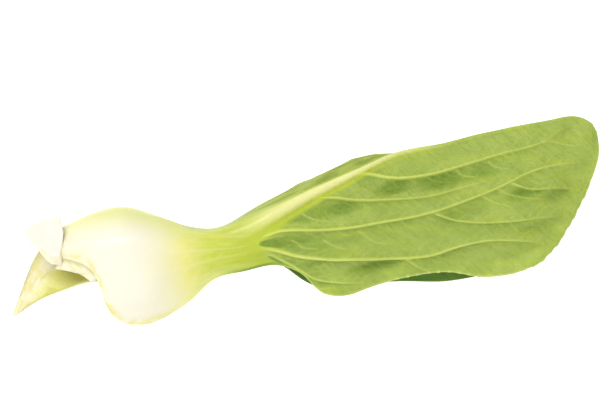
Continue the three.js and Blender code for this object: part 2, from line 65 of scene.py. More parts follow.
# Sections through the back skin, from the torn base to the tip. Each one runs round the fold:
# near edge, near flank, crest of the midrib, back, underside, far edge.
SECTIONS = np.array([
    # torn base and the narrow, rolled collar behind it
    [[-74.1, -11.0, 20.4], [-73.4, -9.0, 22.0], [-72.9, -6.5, 22.3],
     [-73.0, -2.1, 18.0], [-81.9, -10.8, 3.0], [-89.0, -28.5, 1.5]],
    [[-69.3, -11.7, 22.5], [-69.0, -9.3, 24.5], [-68.7, -6.0, 24.8],
     [-68.4, 0.2, 17.0], [-75.0, -8.7, 1.4], [-81.0, -24.0, 2.0]],
    [[-64.2, -13.9, 24.0], [-63.9, -9.9, 26.5], [-63.6, -5.1, 26.5],
     [-63.6, 2.4, 16.0], [-67.5, -7.6, 0.0], [-73.2, -21.0, 2.2]],
    [[-61.6, -18.3, 22.5], [-60.2, -12.3, 27.0], [-59.1, -4.5, 27.5],
     [-58.8, 3.9, 15.0], [-60.6, -6.7, -0.6], [-65.4, -18.6, 2.2]],
    # swollen bowl of the stalk
    [[-59.6, -25.0, 20.0], [-57.6, -17.4, 25.6], [-56.4, -4.2, 28.0],
     [-56.1, 4.2, 15.0], [-57.0, -6.6, -0.8], [-59.4, -18.6, 2.2]],
    [[-55.4, -30.4, 16.0], [-53.8, -22.0, 23.6], [-53.4, -4.2, 28.5],
     [-52.8, 4.2, 15.0], [-52.8, -6.4, -0.8], [-53.4, -19.2, 2.2]],
    [[-46.8, -30.8, 14.5], [-45.6, -22.2, 22.4], [-45.3, -4.8, 27.0],
     [-45.0, 1.9, 14.5], [-45.0, -7.6, -0.2], [-45.6, -20.1, 2.4]],
    [[-35.2, -24.5, 12.5], [-34.8, -18.3, 18.3], [-34.8, -5.4, 22.5],
     [-34.8, -1.6, 13.5], [-34.8, -7.5, 1.6], [-34.8, -17.7, 3.0]],
    # narrow neck
    [[-27.3, -17.2, 11.5], [-26.7, -13.0, 16.6], [-26.4, -4.2, 19.5],
     [-26.1, -1.8, 13.5], [-26.1, -6.0, 2.6], [-26.1, -12.3, 3.5]],
    [[-18.9, -15.2, 11.4], [-18.6, -10.5, 16.3], [-18.3, -1.8, 18.5],
     [-17.7, 2.7, 12.5], [-17.4, -3.9, 2.0], [-17.4, -12.3, 2.5]],
    [[-9.3, -13.2, 12.0], [-9.9, -7.2, 16.8], [-10.2, 2.0, 18.5],
     [-9.9, 7.2, 12.0], [-9.0, -0.9, 1.0], [-8.1, -13.1, 2.0]],
    [[-1.2, -15.8, 12.0], [-0.6, -5.7, 17.2], [-0.3, 7.0, 17.5],
     [-0.3, 12.1, 11.0], [0.6, 1.8, 0.4], [-0.3, -18.4, 1.6]],
    # blade
    [[4.8, -21.7, 10.5], [5.7, -5.4, 17.8], [6.3, 10.2, 16.6],
     [6.3, 15.4, 10.5], [7.2, 4.2, 0.2], [6.0, -20.7, 1.4]],
    [[12.0, -22.5, 10.0], [12.6, -4.8, 18.2], [13.2, 13.5, 15.5],
     [13.5, 18.6, 10.0], [14.4, 6.6, 0.0], [13.2, -20.4, 1.4]],
    [[19.2, -20.0, 9.5], [19.6, -2.4, 18.0], [20.1, 16.8, 13.8],
     [20.4, 20.3, 9.5], [21.3, 8.4, -0.2], [20.4, -18.9, 1.2]],
    [[27.3, -17.6, 9.5], [27.6, 0.9, 17.4], [27.0, 19.9, 12.4],
     [27.3, 20.3, 8.5], [28.8, 9.9, -0.2], [28.2, -18.3, 0.8]],
    [[42.0, -15.3, 9.5], [42.2, 3.9, 16.5], [41.4, 22.9, 11.5],
     [41.6, 23.2, 8.0], [43.2, 12.3, -0.2], [42.6, -18.3, 0.6]],
    [[54.8, -16.9, 9.0], [54.6, 5.4, 15.8], [52.2, 25.6, 11.2],
     [52.5, 25.9, 8.0], [54.0, 14.7, 0.0], [56.4, -15.5, 0.8]],
    [[70.8, -12.4, 8.5], [66.6, 7.8, 15.0], [61.8, 27.7, 10.9],
     [62.1, 28.0, 8.0], [65.1, 17.1, 0.4], [68.4, -10.2, 1.2]],
    [[82.2, 3.9, 9.0], [78.3, 17.4, 12.5], [72.9, 29.8, 10.5],
     [73.2, 30.1, 8.0], [76.2, 21.9, 1.6], [79.8, 4.8, 2.2]],
    # rounded tip
    [[88.1, 19.8, 9.5], [84.3, 25.5, 10.5], [79.8, 31.2, 9.5],
     [80.1, 31.3, 7.5], [82.8, 26.7, 3.6], [86.4, 18.9, 3.6]],
    [[88.0, 23.8, 9.2], [86.6, 26.4, 9.6], [83.5, 30.8, 9.1],
     [83.6, 30.8, 7.3], [85.4, 27.2, 5.2], [86.9, 23.5, 5.0]],
    [[87.6, 26.8, 8.9], [87.0, 28.0, 9.1], [86.2, 29.2, 8.8],
     [86.2, 29.2, 7.8], [86.6, 28.0, 6.9], [87.2, 26.8, 6.4]],
])
CREST_RAIL = 2
CREST_LINE = SECTIONS[:, CREST_RAIL]

# Fineness of the skin: rows along the leaf, columns across each half
ROWS = 330
NEAR_COLUMNS = 165
FAR_COLUMNS = 85


def spline(points, places):
    """Rounded curve through points at the given places, counted in points from the first"""
    ends = np.concatenate([[2 * points[0] - points[1]], points, [2 * points[-1] - points[-2]]])
    index = np.clip(np.floor(places).astype(int), 0, len(points) - 2)
    p0, p1, p2, p3 = (ends[index + k] for k in range(4))

    def knot_gap(a, b):
        return np.sqrt(np.linalg.norm(a - b, axis=-1, keepdims=True)) + 1e-6

    d0, d1, d2 = knot_gap(p0, p1), knot_gap(p1, p2), knot_gap(p2, p3)
    slope1 = ((p1 - p0) / d0 - (p2 - p0) / (d0 + d1) + (p2 - p1) / d1) * d1
    slope2 = ((p2 - p1) / d1 - (p3 - p1) / (d1 + d2) + (p3 - p2) / d2) * d1
    t = (places - index).reshape((-1,) + (1,) * (p1.ndim - 1))
    square = -3 * p1 + 3 * p2 - 2 * slope1 - slope2
    cube = 2 * p1 - 2 * p2 + slope1 + slope2
    return p1 + slope1 * t + square * t ** 2 + cube * t ** 3


def evened(values, passes, axis):
    """Values averaged with their neighbours along an axis, ends kept"""
    values = np.moveaxis(values.copy(), axis, 0)
    for _ in range(passes):
        values[1:-1] = 0.5 * values[1:-1] + 0.25 * (values[:-2] + values[2:])
    return np.moveaxis(values, 0, axis)


def smoothstep(value, low, high):
    t = np.clip((value - low) / (high - low), 0, 1)
    return t * t * (3 - 2 * t)


def bump(distance, reach):
    """1 in the middle, 0 from the reach outwards"""
    return (1 - np.minimum(np.abs(distance) / reach, 1) ** 2) ** 2


def profile(pairs, x):
    places, values = zip(*pairs)
    return np.interp(x, places, values)


# Skin: evenly spaced points round the fold on every row, with their distance from the crest
FINE_STEPS = 500
section_gaps = np.linalg.norm(np.diff(SECTIONS, axis=0), axis=2).max(axis=1)
section_runs = np.concatenate([[0], np.cumsum(section_gaps)])
section_places = np.interp(
    np.linspace(0, section_runs[-1], ROWS + 1),
    section_runs,
    np.arange(len(SECTIONS)),
)
rails = spline(SECTIONS, section_places)
rounds = spline(np.swapaxes(rails, 0, 1), np.linspace(0, 5, FINE_STEPS + 1))
rounds = evened(np.swapaxes(rounds, 0, 1), 12, axis=0)
lengths = np.linalg.norm(np.diff(rounds, axis=1), axis=2)
arcs = np.concatenate([np.zeros((ROWS + 1, 1)), np.cumsum(lengths, axis=1)], axis=1)
arcs -= arcs[:, [FINE_STEPS * CREST_RAIL // 5]]

COLUMNS = NEAR_COLUMNS + FAR_COLUMNS
skin = np.zeros((ROWS + 1, COLUMNS + 1, 3))
arc = np.zeros((ROWS + 1, COLUMNS + 1))
for row in range(ROWS + 1):
    near = np.linspace(arcs[row, 0], 0, NEAR_COLUMNS + 1)
    far = np.linspace(0, arcs[row, -1], FAR_COLUMNS + 1)[1:]
    arc[row] = np.concatenate([near, far])
    for axis in range(3):
        skin[row, :, axis] = np.interp(arc[row], arcs[row], rounds[row, :, axis])
half_width = np.where(arc <= 0, -arc[:, [0]], arc[:, [-1]])
to_edge = half_width - np.abs(arc)
x, y = skin[..., 0], skin[..., 1]
on_far_half = arc > 0

# Plan of the veins: the near half as seen from above, the far half turned over about the crest
plan_x = x
plan_y = np.where(on_far_half, np.interp(x, CREST_LINE[:, 0], CREST_LINE[:, 1]) - arc, y)

# Veins as [x, y] in plan, from where they start outwards: height, half width, path
MAIN_VEINS = [
    (0.5, 0.75, [[13.8, 13.2], [18.0, 14.2], [23.7, 13.2], [28.2, 12.9], [34.2, 13.5],
                  [40.2, 14.7], [46.2, 16.5], [58.2, 20.1], [70.2, 23.4], [76.8, 27.3]]),
    (0.42, 0.65, [[3.6, 6.9], [8.7, 7.0], [14.7, 6.3], [28.2, 6.6], [37.2, 7.5],
                 [46.2, 9.9], [55.2, 12.3]]),
    (0.6, 0.85, [[-15.0, -6.6], [-9.3, -3.4], [-4.8, -2.7], [4.2, -2.7], [13.2, -2.0],
                 [22.5, -0.4], [32.7, 1.4], [40.2, 3.4], [49.2, 6.6], [57.6, 10.0],
                 [67.2, 14.7], [74.7, 16.8], [86.1, 18.0]]),
    (0.35, 0.6, [[38.4, 2.4], [43.8, 0.3], [52.2, -0.5], [61.2, -0.2], [73.2, 1.2],
                 [79.2, 1.5]]),
    (0.35, 0.6, [[61.2, 11.4], [67.2, 9.6], [76.2, 9.9], [83.1, 9.0]]),
    (0.6, 0.85, [[-15.0, -7.6], [-9.3, -8.7], [-1.8, -10.7], [7.2, -11.6], [13.2, -11.6],
                 [28.2, -11.3], [37.8, -10.4], [46.2, -7.7], [55.2, -5.9], [67.2, -6.2],
                 [73.8, -6.9]]),
    (0.35, 0.6, [[29.7, -11.4], [33.6, -13.8], [37.2, -15.3]]),
    (0.42, 0.65, [[-13.2, -9.0], [-6.9, -11.9], [-1.8, -14.7], [2.7, -17.4], [9.0, -18.6],
                  [19.8, -18.5]]),
]
SIDE_VEINS = [
    (0.28, 0.6, [[70.2, 23.4], [73.8, 24.0], [79.2, 22.8], [83.7, 22.8]]),
    (0.25, 0.6, [[56.7, 10.2], [59.7, 8.4], [64.2, 7.2], [73.2, 6.3]]),
    (0.25, 0.6, [[52.2, 7.8], [56.7, 5.4], [62.7, 3.9]]),
    (0.25, 0.6, [[54.3, 18.3], [56.7, 16.5], [61.2, 15.6]]),
    (0.25, 0.6, [[44.7, 15.9], [47.1, 13.8], [52.2, 13.5]]),
    (0.25, 0.6, [[15.6, -2.7], [20.7, -6.6], [26.7, -7.2]]),
    (0.2, 0.6, [[-1.8, 2.7], [1.2, 0.9], [4.8, 0.0], [10.2, 0.0]]),
    (0.22, 0.6, [[-4.8, -5.7], [-2.7, -6.9], [-1.2, -8.1], [4.2, -8.7]]),
    (0.22, 0.6, [[4.8, -5.7], [7.2, -7.2], [10.2, -8.4], [13.2, -8.7]]),
    (0.2, 0.6, [[-0.9, -16.2], [1.2, -18.6], [4.2, -20.3], [8.7, -20.3]]),
]
STRANDS = [
    (0.16, 1.7, [[-51.0, -2.4], [-40.0, -3.2], [-31.8, -4.2], [-24.0, -4.6], [-15.0, -4.4]]),
    (0.16, 1.7, [[-50.0, -9.5], [-40.0, -9.3], [-30.0, -8.6], [-22.0, -8.0], [-15.0, -6.6]]),
    (0.16, 1.7, [[-50.0, -17.0], [-40.0, -15.2], [-30.0, -12.0], [-22.0, -10.4],
                 [-15.0, -9.0]]),
]
NECK_END_X = -10.0
VEIN_RISE = 7.0
BRANCH_RISE = 1.0
TWIG_RISE = 0.3
CURVE_STEPS = 5


def measure_from(path):
    """Distance of every skin point from a path in plan, how far along it is, how much it lies on
    the side of the path away from the crest (0 to 1), and the path's length"""
    path = np.array(path)
    steps = (len(path) - 1) * CURVE_STEPS
    line = spline(path, np.linspace(0, len(path) - 1, steps + 1))
    distance = np.full(plan_x.shape, np.inf)
    run = np.zeros(plan_x.shape)
    outer_side = np.zeros(plan_x.shape)
    walked = 0.0
    for (x0, y0), (x1, y1) in zip(line[:-1], line[1:]):
        dx, dy = x1 - x0, y1 - y0
        step = math.hypot(dx, dy)
        t = np.clip(((plan_x - x0) * dx + (plan_y - y0) * dy) / step ** 2, 0, 1)
        gap = np.hypot(plan_x - x0 - t * dx, plan_y - y0 - t * dy)
        closer = gap < distance
        distance = np.where(closer, gap, distance)
        run = np.where(closer, walked + t * step, run)
        aside = (dx * (plan_y - y0) - dy * (plan_x - x0)) / step
        outer_side = np.where(closer, 0.5 - 0.5 * aside / np.maximum(gap, 1e-6), outer_side)
        walked += step
    return distance, run, outer_side, walked


# Small veins leave the main ones at a slant, towards the margin and, fainter, towards the midrib
TWIG_SPACING = 3.6
TWIG_LENGTH = (3.5, 10.0)
TWIG_SLANT = math.radians(46)
TWIG_BEND = math.radians(20)
TWIG_HALF_WIDTH = 0.55
TWIG_SIDES = ((-1, 0.2), (1, 0.07))
TWIG_CLEAR_OF_END = 2.0
draw = np.random.default_rng(11)


def twigs_of(path):
    """Small veins along one main vein: height and path of each"""
    path = np.array(path)
    line = spline(path, np.linspace(0, len(path) - 1, (len(path) - 1) * CURVE_STEPS + 1))
    runs = np.concatenate([[0], np.cumsum(np.linalg.norm(np.diff(line, axis=0), axis=1))])
    twigs = []
    run = VEIN_RISE
    while run < runs[-1] - TWIG_CLEAR_OF_END:
        start = np.array([np.interp(run, runs, line[:, axis]) for axis in (0, 1)])
        ahead = np.array([np.interp(run + 1, runs, line[:, axis]) for axis in (0, 1)])
        heading = math.atan2(*(ahead - start)[::-1])
        for turn, height in TWIG_SIDES:
            reach = draw.uniform(*TWIG_LENGTH)
            angle = heading + turn * TWIG_SLANT * draw.uniform(0.6, 1.2)
            bend = -turn * TWIG_BEND
            middle = start + reach * 0.5 * np.array([math.cos(angle), math.sin(angle)])
            end = middle + reach * 0.5 * np.array([math.cos(angle + bend), math.sin(angle + bend)])
            twigs.append((height * draw.uniform(0.2, 1.2), [start, middle, end]))
        run += TWIG_SPACING * draw.uniform(0.5, 1.5)
    return twigs


TWIGS = [(height, TWIG_HALF_WIDTH, path) for main in MAIN_VEINS for height, path in twigs_of(main[2])]

# Broad hollows in the sheet beside the veins: [x, y, reach along, reach across, depth]
HOLLOW_LEAN = math.atan2(0.22, 1)
HOLLOWS = [
    [26.4, 10.2, 8.0, 2.8, 1.1], [10.5, 3.8, 9.0, 2.8, 0.9], [41.0, 12.4, 13.0, 3.4, 1.0],
    [53.5, 15.6, 8.0, 3.2, 0.7], [-3.0, -6.9, 9.0, 2.2, 0.9], [20.5, -14.4, 11.0, 2.8, 1.0],
    [66.0, 8.4, 8.0, 2.8, 0.8], [48.0, 1.8, 10.0, 3.0, 0.5], [76.0, 7.5, 6.0, 2.6, 0.6],
    [12.0, -6.6, 9.0, 2.2, 0.4], [69.0, -2.6, 8.0, 2.4, 0.5], [1.5, -13.6, 6.0, 1.6, 0.6],
]

# Each vein sinks, narrows and fades along its run. The sheet falls away from it, steeply on the
# side away from the midrib, where its colour is darkened with painted shade too.
FOLD_CALM = (4.0, 14.0)
PANEL_REACH_BELOW = 1.7
PANEL_REACH_ABOVE = 4.0
SHADE_REACHES = (0.8, 4.4)
SHADE_RISE = 2.0
SHADE_LOSS = 0.4
SHADE_FADE = 0.6
VEIN_FADE = 0.86
VEIN_SLIMMING = 0.88
VEIN_LOWERING = 0.6
VEIN_NARROWING = 0.35
VEIN_GROUPS = (("main", MAIN_VEINS), ("side", SIDE_VEINS), ("twig", TWIGS), ("strand", STRANDS))
fold_calm = np.where(on_far_half, smoothstep(arc, *FOLD_CALM), 1.0)
ridge = np.zeros(arc.shape)
vein_colour = np.zeros(arc.shape)
strand_colour = np.zeros(arc.shape)
panel = 1 - np.exp(-np.abs(arc) / PANEL_REACH_BELOW)
vein_shade = np.zeros(arc.shape)
STRENGTHS = {"main": 1.0, "side": 0.45, "twig": 0.17}
STRAND_EDGE = 0.5
FULL_HEIGHT = 0.5
for group, veins in VEIN_GROUPS:
    for height, reach, path in veins:
        distance, run, outer_side, length = measure_from(path)
        share = run / length
        rise = TWIG_RISE if group == "twig" else BRANCH_RISE
        if path[0][0] < NECK_END_X:
            rise = VEIN_RISE
        taper = smoothstep(run, 0, rise) * (1 - VEIN_LOWERING * share)
        taper *= 1 - smoothstep(share, VEIN_FADE, 1)
        narrowing = VEIN_SLIMMING * reach * (1 - VEIN_NARROWING * share)
        ridge = np.maximum(ridge, height * taper * fold_calm * bump(distance, narrowing))
        if group == "main":
            slope_reach = PANEL_REACH_ABOVE + (PANEL_REACH_BELOW - PANEL_REACH_ABOVE) * outer_side
            panel *= 1 - np.exp(-distance / slope_reach)
        # Painted shade on each vein's side away from the midrib; the tint is the vein's own pale colour
        if group != "strand":
            close, broad = (np.exp(-distance / shade_reach) for shade_reach in SHADE_REACHES)
            shade = STRENGTHS[group] * outer_side * (0.6 * close + 0.5 * broad if group == "main" else close)
            shade *= smoothstep(run, 0, SHADE_RISE) * (1 - SHADE_LOSS * share)
            shade *= 1 - smoothstep(share, SHADE_FADE, 1)
            vein_shade = np.maximum(vein_shade, shade)
            boldness = min(height / FULL_HEIGHT, 1) if group == "main" else 1
            tint = STRENGTHS[group] * boldness * taper * (1 - smoothstep(distance / narrowing, 0.35, 1.1))
            vein_colour = np.maximum(vein_colour, tint * fold_calm)
        else:
            tint = taper * fold_calm * (1 - smoothstep(distance / narrowing, 0, STRAND_EDGE))
            strand_colour = np.maximum(strand_colour, tint)

dimple = np.zeros(arc.shape)
for place_x, place_y, reach_x, reach_y, depth in HOLLOWS:
    away_x, away_y = plan_x - place_x, plan_y - place_y
    across_hollow = away_y * math.cos(HOLLOW_LEAN) - away_x * math.sin(HOLLOW_LEAN)
    gap = np.hypot(away_x / reach_x, across_hollow / reach_y)
    dimple = np.maximum(dimple, depth * bump(gap, 1.0))
dimple *= fold_calm
# Painted shade: the hollows are darkened in colour as well as sunk
HOLLOW_SHADE = 0.8
vein_shade = np.minimum(vein_shade + HOLLOW_SHADE * dimple, 1)

# The sheet begins as green wedges between the veins where they leave the neck, darkened with
# painted shade: path, half width at its start, widening
WEDGES = [
    ([[-16.5, -7.0], [-6.0, -6.5], [6.0, -7.0]], 0.25, 0.26),
    ([[-13.5, -9.8], [-6.0, -12.6], [2.0, -15.2]], 0.15, 0.18),
    ([[-10.0, -0.8], [-3.0, 1.2], [5.0, 3.2]], 0.2, 0.26),
]
WEDGE_RISE = 4.0
wedge = np.zeros(arc.shape)
for path, start_width, widening in WEDGES:
    distance, run, _, length = measure_from(path)
    inside_wedge = 1 - smoothstep(distance / (start_width + widening * run), 0.4, 1.3)
    inside_wedge *= smoothstep(run, 0, WEDGE_RISE)
    wedge = np.maximum(wedge, inside_wedge * (1 - 0.5 * run / length))
wedge = np.where(on_far_half, 0, wedge)
vein_shade = np.maximum(vein_shade, wedge)

# Midrib: a raised band that narrows towards the tip
MIDRIB_HEIGHT = [(-24, 0), (-10, 1.2), (2, 1.6), (15, 1.2), (28, 0.8), (60, 0.5), (86, 0.2)]
MIDRIB_HALF_WIDTH = [(-24, 6), (-10, 4.2), (2, 2.8), (15, 1.9), (28, 1.3), (86, 0.9)]
midrib = bump(arc, profile(MIDRIB_HALF_WIDTH, x))
ridge = np.maximum(ridge, profile(MIDRIB_HEIGHT, x) * midrib)

# The sheet of the blade sinks between its veins, and its free edges are gently waved
BLADE_SHARE = [(-16, 0), (6, 1), (78, 1), (86, 0)]
PANEL_SINK = 1.7
EDGE_CALM = 5.0
WAVE_HEIGHT = 0.35
WAVE_LENGTHS = (17.5, 9.3)
WAVE_DEPTH = 6.0
blade = profile(BLADE_SHARE, x)
sink = blade * smoothstep(to_edge, 0, EDGE_CALM) * fold_calm * (PANEL_SINK * panel + dimple)
run_of_wave = x - 0.6 * y + np.where(on_far_half, 5, 0)
waves = [np.sin(2 * math.pi * run_of_wave / length) for length in WAVE_LENGTHS]
edge_wave = WAVE_HEIGHT * blade * (1 - smoothstep(to_edge, 0, WAVE_DEPTH)) * (waves[0] + 0.5 * waves[1])

# Shallow scallops along the margin at the blade's far end, and small pale teeth halfway along it.
# Ranges are in x: where each begins and is full, and where it wanes and ends.
SCALLOP = 0.17
SCALLOP_LENGTHS = (3.3, 8.7)
SCALLOP_BEGINS = (58.0, 74.0)
SCALLOP_ENDS = (84.0, 87.5)
SCALLOP_DEPTH = 1.6
TOOTH_SPACING = 3.1
TOOTH_SHARPNESS = 5
TOOTH_HEIGHT = 0.22
TOOTH_BEGINS = (20.0, 32.0)
TOOTH_ENDS = (54.0, 64.0)
TOOTH_DEPTH = (0.4, 1.1)
margins = np.where(on_far_half[..., None], skin[:, [-1]], skin[:, [0]])
margin_steps = np.linalg.norm(np.diff(margins, axis=0), axis=2)
margin_run = np.concatenate([np.zeros((1, COLUMNS + 1)), np.cumsum(margin_steps, axis=0)])
scallop = sum(np.sin(2 * math.pi * margin_run / length) for length in SCALLOP_LENGTHS)
scallop *= SCALLOP * smoothstep(x, *SCALLOP_BEGINS) * (1 - smoothstep(x, *SCALLOP_ENDS))
tooth = np.maximum(np.cos(2 * math.pi * margin_run / TOOTH_SPACING), 0) ** TOOTH_SHARPNESS
tooth *= ~on_far_half * smoothstep(x, *TOOTH_BEGINS) * (1 - smoothstep(x, *TOOTH_ENDS))
scallop = np.where(on_far_half, 0, scallop + TOOTH_HEIGHT * tooth)
scallop *= 1 - smoothstep(to_edge, 0, SCALLOP_DEPTH)
tooth *= 1 - smoothstep(to_edge, *TOOTH_DEPTH)

# A faint vein that follows the margin round the tip
MARGIN_VEIN_INSET = 1.6
MARGIN_VEIN_HALF_WIDTH = 0.4
MARGIN_VEIN_BEGINS = (70.0, 82.0)
MARGIN_VEIN_STRENGTH = 0.25
margin_vein = bump(to_edge - MARGIN_VEIN_INSET, MARGIN_VEIN_HALF_WIDTH) * ~on_far_half
margin_vein *= smoothstep(x, *MARGIN_VEIN_BEGINS)
vein_colour = np.maximum(vein_colour, MARGIN_VEIN_STRENGTH * margin_vein)

# Slight unevenness of grown tissue
UNEVEN = 0.16
UNEVEN_SIZE = 9.0
uneven = np.array([noise.noise(Vector(point) / UNEVEN_SIZE) for point in skin.reshape(-1, 3)])
uneven = UNEVEN * uneven.reshape(arc.shape)

# Thickness of the flesh: deep at the midrib of the stalk, thin in the sheet of the blade
RIB_WALL = [(-74, 6.0), (-45, 5.5), (-20, 4.8), (0, 3.2), (15, 2.2), (28, 1.7), (60, 1.2), (80, 0.7)]
RIB_WALL_REACH = [(-74, 18), (-45, 20), (-20, 11), (0, 6), (15, 4), (60, 2.5), (86, 1.5)]
SHEET_WALL = [(-74, 2.6), (-45, 1.8), (-20, 1.6), (-6, 1.1), (8, 0.8), (80, 0.7), (86, 0.65)]
WALL_SMOOTHINGS = 60
sheet = profile(SHEET_WALL, x)
wall = sheet + (profile(RIB_WALL, x) - sheet) * bump(arc, profile(RIB_WALL_REACH, x))

# Bevel of the torn end, which shows its broken face from above
TEAR_SECTIONS = 3.0
TEAR_SLANT_X = 7.0
TEAR_RIM = (-0.6, -3.4, -2.0)
TEAR_FADE = 9.0
section_place = section_places[:, None]
across = np.linspace(0, 1, COLUMNS + 1)[None, :]
tear_end = np.maximum(1 - section_place / TEAR_SECTIONS, 0)
far_share = smoothstep(across, 0.3, 0.55) * (1 - 0.8 * smoothstep(across, 0.8, 1))
rim_share = bump(half_width + arc, TEAR_FADE) * smoothstep(TEAR_SECTIONS - section_place, 0, 0.8)
rim_share = np.where(arc < 0, rim_share, 0)
tear = rim_share[..., None] * np.array(TEAR_RIM)
tear[..., 0] += TEAR_SLANT_X * tear_end * far_share

# Back skin and inner skin
along = np.gradient(skin, axis=0)
over = np.gradient(skin, axis=1)
normal = np.cross(along, over)
normal /= np.linalg.norm(normal, axis=-1, keepdims=True)
outward = evened(normal, WALL_SMOOTHINGS, axis=1)
outward /= np.linalg.norm(outward, axis=-1, keepdims=True)
sideways = over / np.linalg.norm(over, axis=-1, keepdims=True) * np.where(on_far_half, 1, -1)[..., None]
base = skin + normal * (uneven - sink)[..., None] + sideways * scallop[..., None]
base[..., 2] = np.maximum(base[..., 2] + edge_wave, 0)
back_skin = base + normal * ridge[..., None]
back_skin[..., 2] = np.maximum(back_skin[..., 2], 0)
inner_skin = base - outward * (wall * (1 - rim_share))[..., None] + tear

# The sheet is drawn as a grid and doubled into its thickness. Solidify keeps the same order of
# points, edges and faces in every run, which extruding doesn't, and the thinning depends on it.
bpy.ops.object.select_all(action="DESELECT")
bpy.ops.mesh.primitive_grid_add(x_subdivisions=COLUMNS, y_subdivisions=ROWS, size=0.2)
leaf = bpy.context.object
leaf.name = "leaf_flesh"
number = leaf.data.attributes.new("number", "INT", "POINT")
number.data.foreach_set("value", np.arange(len(leaf.data.vertices), dtype=np.int32))
doubling = leaf.modifiers.new("doubling", "SOLIDIFY")
doubling.thickness = MM
bpy.ops.object.modifier_apply(modifier=doubling.name)

count = (ROWS + 1) * (COLUMNS + 1)
numbers = np.zeros(len(leaf.data.vertices), dtype=np.int32)
leaf.data.attributes["number"].data.foreach_get("value", numbers)
is_inner = np.arange(len(numbers)) >= count
places = np.where(is_inner[:, None], inner_skin.reshape(-1, 3)[numbers], back_skin.reshape(-1, 3)[numbers])
leaf.data.vertices.foreach_set("co", (places * MM).astype(np.float32).ravel())


def paint(mesh, name, values):
    """Keep a number at every point of a mesh for its material"""
    layer = mesh.attributes.new(name, "FLOAT", "POINT")
    layer.data.foreach_set("value", np.asarray(values, dtype=np.float32).ravel())


# How green the flesh has turned, from the cream stalk to the blade
GREENING = [(-74, 0.08), (-60, 0.02), (-50, 0.03), (-44, 0.12), (-39, 0.26), (-34, 0.42), (-29, 0.56),
            (-24, 0.68), (-18, 0.78), (-12, 0.87), (-8, 0.93), (-2, 1.0)]
BACK_GREENING = 0.25
LOWER_PALING = 0.07
# Olive tint with painted shade where the fold turns away from the light, from the bowl into the neck
OLIVE_SHADE = [(-74, 0.5), (-60, 0.55), (-44, 0.7), (-30, 0.95), (-16, 0.95), (-4, 0.6), (6, 0)]
OLIVE_SHADE_FROM = [(-64, 0.0), (-52, -1.0), (-42, -2.5), (-34, -4.0)]
OLIVE_SHADE_BREADTH = 13.0
stalk = 1 - profile(BLADE_SHARE, x)
green = profile(GREENING, x) + BACK_GREENING * stalk * smoothstep(arc, 0, 14)
green -= LOWER_PALING * smoothstep(-arc, 6, 18) * bump(x + 38, 14)
green = np.maximum(green, smoothstep(wedge, 0.05, 0.75))
olive_shade = smoothstep(arc - profile(OLIVE_SHADE_FROM, x), 0, OLIVE_SHADE_BREADTH) * profile(OLIVE_SHADE, x)
rib_place = np.abs(arc) / profile(MIDRIB_HALF_WIDTH, x) * np.where(on_far_half, 1.5, 1)
rib_flank = (1 - smoothstep(rib_place, 1.0, 1.7)) * smoothstep(x, -26, -12) * (1 - smoothstep(x, 12, 40))
rib_flank *= np.where(on_far_half, 0.35, 1)
RIB_PALENESS = [(-30, 0), (-20, 0.2), (-12, 0.65), (-4, 0.95), (12, 1), (22, 0.8), (46, 0)]
rib_core = (1 - smoothstep(rib_place, 0.2, 0.85)) * profile(RIB_PALENESS, x)

# Where the flesh is torn: the broken edge itself, a ragged rim outside and a wider one inside
TORN_RIM = (0.1, 1.8)
TORN_UNDER_RIM = (3.5, 6.0)
TORN_INSIDE = (0.3, 1.2)
RAGGEDNESS = 0.25
ragged = uneven / UNEVEN
torn_edge = np.zeros(arc.shape)
torn_edge[0] = 1
torn_edge[section_places < TEAR_SECTIONS, 0] = 1
near_tear = (section_place < TEAR_SECTIONS) & ~on_far_half
torn_rim = (1 - smoothstep(to_edge + ragged, *TORN_RIM)) * near_tear
under_rim = (1 - smoothstep(to_edge, *TORN_UNDER_RIM)) * near_tear
torn_inside = 1 - smoothstep(section_place + RAGGEDNESS * ragged, *TORN_INSIDE)
torn_outside = np.maximum(torn_edge, torn_rim)
torn_inside = np.maximum(np.maximum(torn_edge, torn_inside), under_rim)
torn = np.where(is_inner, torn_inside.ravel()[numbers], torn_outside.ravel()[numbers])

paint(leaf.data, "inside", is_inner)
paint(leaf.data, "green", np.minimum(green, 1).ravel()[numbers])
paint(leaf.data, "vein", vein_colour.ravel()[numbers])
paint(leaf.data, "strand", strand_colour.ravel()[numbers])
paint(leaf.data, "rib_core", rib_core.ravel()[numbers])
paint(leaf.data, "rib_flank", rib_flank.ravel()[numbers])
paint(leaf.data, "shade", vein_shade.ravel()[numbers])
paint(leaf.data, "edge", to_edge.ravel()[numbers])
paint(leaf.data, "olive_shade", olive_shade.ravel()[numbers])
paint(leaf.data, "far", smoothstep(arc / profile(MIDRIB_HALF_WIDTH, x), 0.3, 1.1).ravel()[numbers])
paint(leaf.data, "tooth", tooth.ravel()[numbers])
paint(leaf.data, "outline", torn_edge.ravel()[numbers] * ~is_inner)
paint(leaf.data, "torn", torn)
leaf.data.update()

